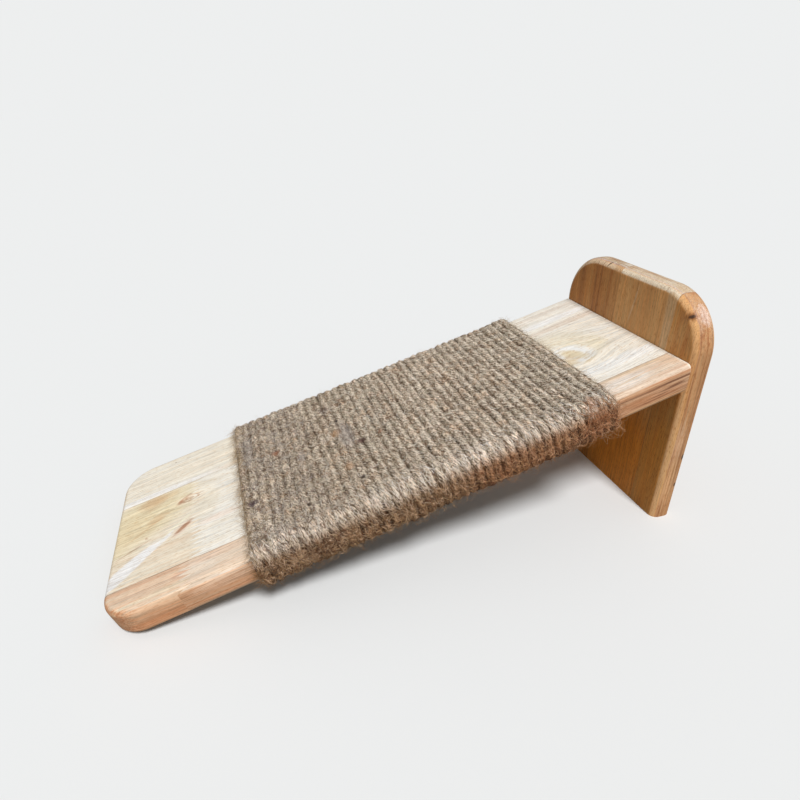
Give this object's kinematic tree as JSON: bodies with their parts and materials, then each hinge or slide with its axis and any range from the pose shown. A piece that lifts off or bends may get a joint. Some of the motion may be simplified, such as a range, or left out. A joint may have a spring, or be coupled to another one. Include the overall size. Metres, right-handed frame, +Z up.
{
  "type": "cat scratcher ramp",
  "caption": "Low sloping wooden ramp for a cat to scratch, wound with jute rope over its middle and held up at one end by an upright board with rounded corners.",
  "frame": {"origin": "on the floor, under the middle of the whole object's box", "axes": "+X runs up the ramp from its nose to the upright board, +Y runs across it from the near side to the far side, +Z is up"},
  "size_m": [0.4008, 0.1624, 0.1723],
  "materials": {
    "orange_wood": "sanded light hardwood with an orange tone, clear matt oil",
    "yellow_wood": "sanded light hardwood with a yellow tone, clear matt oil",
    "cream_wood": "sanded cream hardwood, clear matt oil",
    "pale_wood": "sanded pale hardwood, clear matt oil",
    "tan_wood": "sanded tan hardwood, clear matt oil",
    "jute_rope": "dry twisted natural jute with stray fibres",
    "plated_steel": "bright zinc plate"
  },
  "bodies": {
    "root": {"ramp_lamella_near_front": "orange_wood", "ramp_lamella_near_rear": "orange_wood", "ramp_lamella_middle_front": "yellow_wood", "ramp_lamella_middle_rear": "cream_wood", "ramp_stave_far": "pale_wood", "board_stave_near": "tan_wood", "board_stave_middle": "tan_wood", "board_stave_far": "tan_wood", "rope_winding_front": "jute_rope", "rope_winding_rear": "jute_rope", "rope_staple_front": "plated_steel", "rope_staple_rear": "plated_steel", "wood_screw_near": "plated_steel", "wood_screw_middle": "plated_steel", "wood_screw_far": "plated_steel"}
  },
  "joints": []
}
